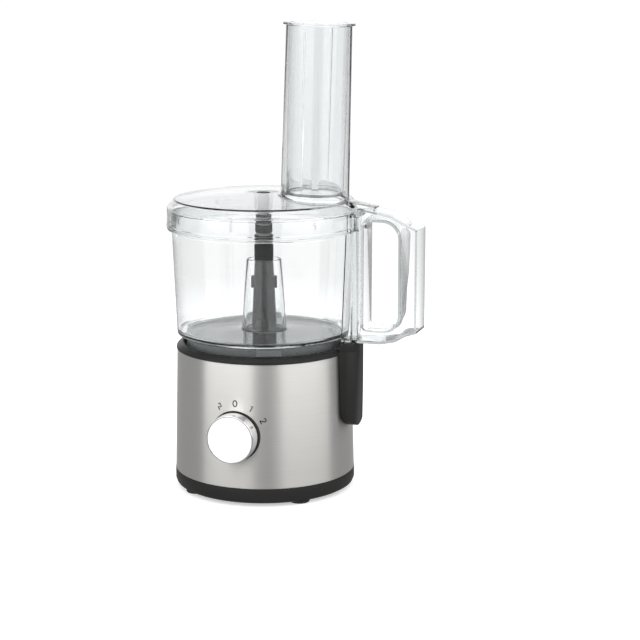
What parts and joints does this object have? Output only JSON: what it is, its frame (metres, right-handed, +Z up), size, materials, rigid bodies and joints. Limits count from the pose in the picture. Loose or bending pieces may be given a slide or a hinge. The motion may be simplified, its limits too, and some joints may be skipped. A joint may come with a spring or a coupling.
{
  "type": "food processor",
  "caption": "Compact food processor: round steel motor base with front knob, clear bowl with side handle, clear lid with a tall feed tube and pusher, spindle in the bowl.",
  "frame": {"origin": "on the drive axis, in the plane of the worktop that the feet stand on", "axes": "+Z up along the drive axis, -Y towards the user and the knob, +X towards the bowl handle"},
  "size_m": [0.2355, 0.184, 0.4256],
  "materials": {
    "black_plastic": "satin black moulding",
    "rubber": "matt",
    "bright_steel": "turned steel",
    "brushed_steel": "brushed around the axis",
    "switch_plastic": "moulded",
    "silver_plastic": "silver, satin",
    "cast_aluminium": "cast",
    "laminated_steel": "stacked sheets",
    "copper_winding": "enamelled copper",
    "board_green": "solder mask",
    "capacitor_white": "moulded",
    "charcoal_plastic": "satin",
    "grey_plastic": "satin",
    "clear_plastic": "clear, polished"
  },
  "bodies": {
    "base": {"base_pan": "black_plastic", "rubber_feet": "rubber", "case_screws": "bright_steel", "steel_shell": "brushed_steel", "top_housing": "black_plastic", "interlock_column": "black_plastic", "column_cap": "black_plastic", "interlock_switch": "switch_plastic", "interlock_spring": "bright_steel", "cord_gland": "rubber", "dial_plate": "black_plastic", "rotary_switch": "switch_plastic", "switch_nut": "bright_steel", "lower_bracket": "cast_aluminium", "upper_bracket": "cast_aluminium", "stator_core": "laminated_steel", "stator_windings": "copper_winding", "motor_bolts": "bright_steel", "lower_bearing": "bright_steel", "upper_bearing": "bright_steel", "shaft_seal": "rubber", "control_board": "board_green", "board_parts": "switch_plastic", "run_capacitor": "capacitor_white"},
    "rotor": {"motor_shaft": "bright_steel", "rotor_core": "laminated_steel", "rotor_end_rings": "cast_aluminium", "cooling_fan": "black_plastic", "shaft_clip": "bright_steel", "spindle": "charcoal_plastic", "spindle_cap": "black_plastic", "spindle_collar": "grey_plastic"},
    "dial": {"knob": "silver_plastic", "knob_shaft": "bright_steel"},
    "plunger": {"interlock_plunger": "black_plastic"},
    "bowl_body": {"bowl": "clear_plastic", "bowl_handle": "clear_plastic"},
    "rod": {"push_rod": "clear_plastic"},
    "lid_body": {"lid": "clear_plastic", "lid_skirt": "clear_plastic", "lid_tab": "clear_plastic", "feed_tube": "clear_plastic"},
    "pusher_body": {"pusher": "clear_plastic"}
  },
  "joints": [
    {"name": "motor_spin", "type": "hinge", "parent": "base", "child": "rotor", "pos_m": [0, 0, 0.066], "axis": [0, 0, 1], "continuous": true},
    {"name": "knob_turn", "type": "hinge", "parent": "base", "child": "dial", "pos_m": [0, -0.0896, 0.065], "axis": [0, 1, 0], "range_deg": [-30, 60]},
    {"name": "plunger_press", "type": "slide", "parent": "base", "child": "plunger", "axis": [0, 0, 1], "range_m": [-0.004, 0], "stiffness_N_per_m": 400, "springref_m": 0.004, "deforming": ["interlock_spring"]},
    {"name": "bowl_lift", "type": "slide", "parent": "base", "child": "bowl_body", "axis": [0, 0, 1], "range_m": [0, 0.16]},
    {"name": "rod_press", "type": "slide", "parent": "bowl_body", "child": "rod", "axis": [0, 0, 1], "range_m": [-0.004, 0]},
    {"name": "lid_lift", "type": "slide", "parent": "bowl_body", "child": "lid_body", "axis": [0, 0, 1], "range_m": [0, 0.1]},
    {"name": "pusher_slide", "type": "slide", "parent": "lid_body", "child": "pusher_body", "axis": [0.0274, 0, 0.9996], "range_m": [0, 0.16]}
  ],
  "couplings": [
    {"joint": "rod_press", "follows": "plunger_press", "ratio": 1}
  ]
}
